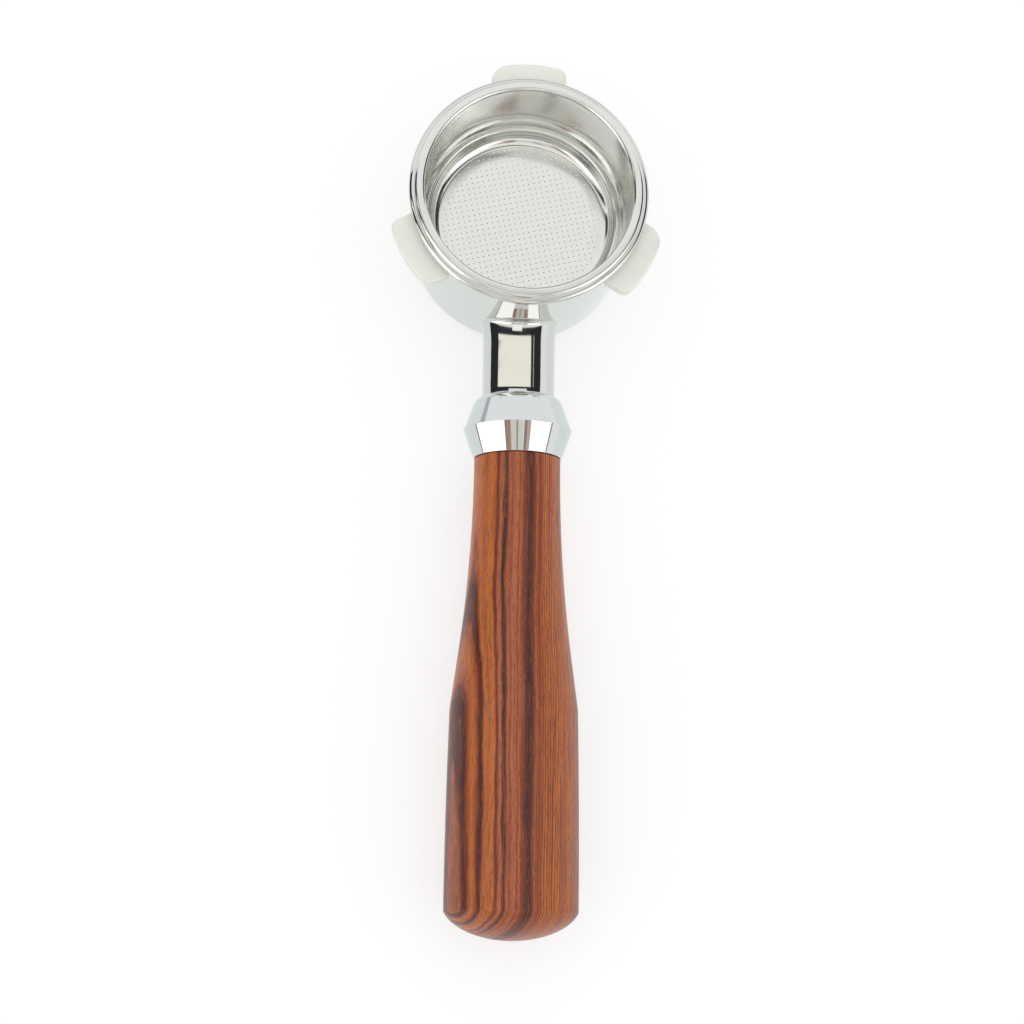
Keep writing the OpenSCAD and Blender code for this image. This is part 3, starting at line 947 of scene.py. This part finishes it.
def rosewood():
    """Rosewood whose layers are tilted planes, so that they run out over the rounded end."""
    material, graph, shader = new_material("rosewood", Metallic=0.0, IOR=1.42)
    place = along_handle(graph)
    x, up, s = graph.add("SeparateXYZ", {0: place}).node.outputs
    slow = graph.add("Mapping", {"Vector": place, "Scale": (0.09, 0.09, 0.022)})
    sway = graph.math("SUBTRACT", graph.noise(slow, 1.0, 2, 0.5), 0.5)
    quick = graph.add("Mapping", {"Vector": place, "Scale": (0.55, 0.55, 0.10)})
    wobble = graph.math("SUBTRACT", graph.noise(quick, 1.0, 2, 0.6), 0.5)
    layer = graph.math("SUBTRACT", x, graph.math("MULTIPLY", up, LAYER_TILT))
    layer = graph.math("ADD", layer, graph.smooth(s, 70, 140, -2.5, 0.0))
    layer = graph.math("ADD", layer, graph.math("MULTIPLY", sway, 1.5))
    layer = graph.math("ADD", layer, graph.math("MULTIPLY", wobble, 0.75))
    tones = layer_tones(graph, layer)

    line_at = graph.add("CombineXYZ", {0: graph.math("MULTIPLY", layer, 1.6),
                                       1: graph.math("MULTIPLY", s, 0.02), 2: 0.0})
    lines = graph.noise(line_at, 1.0, 3, 0.8)
    fine_side = graph.smooth(layer, -6.0, 0.0, 0.4, 0.75)
    tones = graph.mix(graph.math("MULTIPLY", graph.smooth(lines, 0.5, 0.62), fine_side), tones, BROWN)
    tones = graph.mix(graph.smooth(lines, 0.48, 0.36, 0.0, 0.5), tones, TAN)
    phase = graph.math("ADD", graph.math("MULTIPLY", layer, 2 * math.pi / STRIPE_PITCH),
                       graph.math("MULTIPLY", lines, 5.0))
    stripe = graph.smooth(graph.math("SINE", phase), 0.0, 0.9)
    striped = graph.math("MULTIPLY", graph.smooth(layer, -4.0, 0.0, 0.0, 0.65),
                         graph.smooth(layer, 9.0, 3.5, 0.5, 1.0))
    tones = graph.mix(graph.math("MULTIPLY", stripe, striped), tones, STRIPE)

    fibre_at = graph.add("Mapping", {"Vector": place, "Scale": (2.6, 2.6, 0.30)})
    fibre = graph.noise(fibre_at, 1.0, 4, 0.7)
    tones = graph.mix(graph.smooth(fibre, 0.46, 0.72, 0.0, 0.75), tones, BROWN)
    tones = graph.mix(graph.smooth(fibre, 0.46, 0.3, 0.0, 0.4), tones, ORANGE, "LIGHTEN")
    pore_at = graph.add("Mapping", {"Vector": place, "Scale": (2.6, 2.6, 0.36)})
    pores = graph.smooth(graph.add("TexVoronoi", {"Vector": pore_at, "Scale": 1.0}, output=0), 0.22, 0.10)
    tones = graph.mix(graph.math("MULTIPLY", pores, 0.7), tones, BLACK)
    graph.feed(shader.inputs["Base Color"], tones)
    graph.feed(shader.inputs["Roughness"], graph.smooth(fibre, 0.3, 0.7, 0.3, 0.4))
    relief = graph.math("SUBTRACT", graph.math("MULTIPLY", fibre, 0.4), pores)
    bump = graph.add("Bump", {"Strength": 0.4, "Distance": 0.02 * MM, "Height": relief})
    graph.feed(shader.inputs["Normal"], bump)
    return material


# ---------------------------------------------------------------- stage, light and camera

# Panels seen in the metal: (from, to) in degrees around the handle, (from, to) along it, softness, colour
ROOM = [
    (-105, 69, -1.0, 28.0, 0.5, (0.03, 0.03, 0.035)),
    (-36, 22, 17.8, 32.0, 1.0, (1.0, 1.0, 1.0)),
    (-26, 4, -4.0, 2.5, 1.0, (1.2, 1.2, 1.2)),
    (-73, 34, 8.0, 13.8, 0.9, (1.12, 1.09, 1.0)),
    (42, 43.5, 8.0, 13.8, 0.4, (0.8, 0.8, 0.8)),
    (-105, -92, 30, 62, 4.0, (0.50, 0.53, 0.54)),
    (-108, 77, -47, -24, 0.6, (0.12, 0.12, 0.13)),
    (-108, -104, -26, -9, 0.6, (0.12, 0.12, 0.13)),
    (73, 77, -26, -9, 0.6, (0.12, 0.12, 0.13)),
    (-105, -36, -46, -9, 0.6, (1.7, 1.7, 1.7)),
    (-34, -22, -46, -24, 1.0, (0.46, 0.30, 0.22)),
    (-22, -8, -46, -24, 1.0, (0.80, 0.76, 0.70)),
    (-8, -4, -46, -24, 1.0, (0.40, 0.40, 0.38)),
    (-4, 7, -46, -24, 1.0, (0.80, 0.80, 0.75)),
    (7, 11, -46, -24, 1.0, (0.98, 0.92, 0.86)),
    (11, 17, -46, -24, 1.0, (0.34, 0.26, 0.22)),
    (17, 26, -46, -24, 1.0, (0.60, 0.47, 0.41)),
    (26, 74, -46, -9, 0.6, (1.7, 1.7, 1.7)),
]


def studio_world():
    """A white studio: a cream overhead panel in a dark frame, and bright strips, seen in metal."""
    world = bpy.data.worlds.new("studio")
    bpy.context.scene.world = world
    world.use_nodes = True
    graph = Graph(world.node_tree)
    x, y, z = graph.add("SeparateXYZ", {0: graph.add("TexCoord", output="Generated")}).node.outputs
    degrees = 180 / math.pi
    across = graph.math("MULTIPLY", graph.math("ARCTAN2", x, z), degrees)
    along = graph.math("MULTIPLY", graph.math("ARCSINE", y), degrees)

    def panel(a0, a1, b0, b1, soft):
        edges = [graph.smooth(across, a0 - soft, a0 + soft), graph.smooth(across, a1 + soft, a1 - soft),
                 graph.smooth(along, b0 - soft, b0 + soft), graph.smooth(along, b1 + soft, b1 - soft)]
        mask = edges[0]
        for edge in edges[1:]:
            mask = graph.math("MULTIPLY", mask, edge)
        return mask

    above = graph.math("MAXIMUM", z, 0.0)
    lit = graph.math("MULTIPLY_ADD", above, 0.83, 0.45)
    room = graph.mix(graph.smooth(along, 20, 80), (1.0, 1.0, 1.0), (0.94, 0.98, 1.0))
    room = graph.mix(graph.smooth(z, 0.0, -0.25), room, (0.88, 0.92, 0.92))
    for a0, a1, b0, b1, soft, colour in ROOM:
        room = graph.mix(panel(a0, a1, b0, b1, soft), room, colour)
    low = graph.math("MULTIPLY", graph.smooth(z, 0.03, 0.08), graph.smooth(z, 0.32, 0.2))
    ends = graph.math("MAXIMUM", graph.smooth(y, -0.68, -0.76), graph.smooth(y, 0.82, 0.88))
    room = graph.mix(graph.math("MULTIPLY", low, ends), room, (0.10, 0.08, 0.07))
    path = graph.tree.nodes.new("ShaderNodeLightPath")
    soft_light = graph.add("CombineXYZ", {0: lit, 1: lit, 2: lit})
    colour = graph.mix(path.outputs["Is Diffuse Ray"], room, soft_light)
    colour = graph.mix(path.outputs["Is Camera Ray"], colour, (1.0, 1.0, 1.0))
    background = graph.tree.nodes.new("ShaderNodeBackground")
    graph.feed(background.inputs["Color"], colour)
    out = graph.tree.nodes.new("ShaderNodeOutputWorld")
    graph.tree.links.new(background.outputs[0], out.inputs["Surface"])


def pale_floor():
    """A large floor through the two points on which the portafilter rests, with a painted shade under the
    basket.
    """
    half_width, gap, painted_shade_r = 6.0, 0.05, 21
    front_foot = Vector((0, (RING_FOOT_R - FOOT_ROUND) * MM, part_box("head_casting")[0].z))
    to_wood = [v.co - front_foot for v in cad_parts["wooden_handle"].data.vertices]
    steepest = max(to_wood, key=lambda offset: offset.z / offset.y)
    tilt = math.atan2(-steepest.z, -steepest.y)
    bm = bmesh.new()
    bmesh.ops.create_grid(bm, x_segments=2, y_segments=2, size=half_width)
    mesh = bpy.data.meshes.new("floor")
    bm.to_mesh(mesh)
    bm.free()
    mesh.transform(Matrix.Translation(front_foot - Vector((0, 0, gap * MM))) @ Matrix.Rotation(tilt, 4, "X"))
    floor = bpy.data.objects.new("floor", mesh)
    bpy.context.scene.collection.objects.link(floor)
    material = bpy.data.materials.new("pale_floor")
    material.use_nodes = True
    graph = Graph(material.node_tree)
    diffuse = graph.add("BsdfDiffuse", {"Color": (0.36, 0.36, 0.36, 1)})
    x, y, _ = graph.add("SeparateXYZ", {0: graph.add("TexCoord", output="Object")}).node.outputs
    reach = graph.vector("LENGTH", graph.add("CombineXYZ", {0: x, 1: y, 2: 0.0}), output=1)
    # Painted shade: the floor's glow fades to nothing under the basket, from the outlet's radius in to
    # painted_shade_r.
    outside = graph.smooth(reach, painted_shade_r * MM, OUTLET_R * MM)
    glow = graph.add("Emission", {"Color": (0.66, 0.66, 0.66, 1), "Strength": outside})
    shown = graph.add("AddShader", {0: diffuse, 1: glow})
    out = graph.tree.nodes.new("ShaderNodeOutputMaterial")
    graph.tree.links.new(shown, out.inputs["Surface"])
    mesh.materials.append(material)
    floor.visible_glossy = False


def photo_camera():
    azimuth, elevation, roll = (math.radians(a) for a in (-18.504, 74.733, 19.668))
    distance = 660.52 * MM
    target = Vector((-2.601, -82.448, -15)) * MM
    back = Vector((math.sin(azimuth) * math.cos(elevation),
                   -math.cos(azimuth) * math.cos(elevation), math.sin(elevation)))
    right = (-back).cross(Vector((0, 0, 1))).normalized()
    up = right.cross(-back)
    turned_right = math.cos(roll) * right + math.sin(roll) * up
    turned_up = -math.sin(roll) * right + math.cos(roll) * up
    data = bpy.data.cameras.new("camera")
    data.lens = 91.16
    data.sensor_width = 36
    data.clip_start, data.clip_end = 0.01, 50
    camera = bpy.data.objects.new("camera", data)
    camera.matrix_world = Matrix.Translation(target + back * distance) @ Matrix(
        (turned_right, turned_up, back)).transposed().to_4x4()
    bpy.context.scene.collection.objects.link(camera)
    bpy.context.scene.camera = camera


# ---------------------------------------------------------------- assembly

def recolour(node, material):
    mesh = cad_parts[node].data
    mesh.materials.clear()
    mesh.materials.append(material)


def add(piece, body, node):
    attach(piece, body)
    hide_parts(node)


scene = bpy.context.scene
scene.view_settings.view_transform = "Standard"
photo_camera()
studio_world()
pale_floor()

add(head_casting(), "head", "head_casting")
add(filter_basket(), "basket", "filter_basket")
add(basket_spring(), "head", "basket_spring")
add(ferrule(), "ferrule", "handle_ferrule")
add(handle_stud(), "handle", "handle_stud")
add(wooden_handle(), "handle", "wooden_handle")
recolour("threaded_insert", brass())
recolour("spring_washer", zinc_steel())
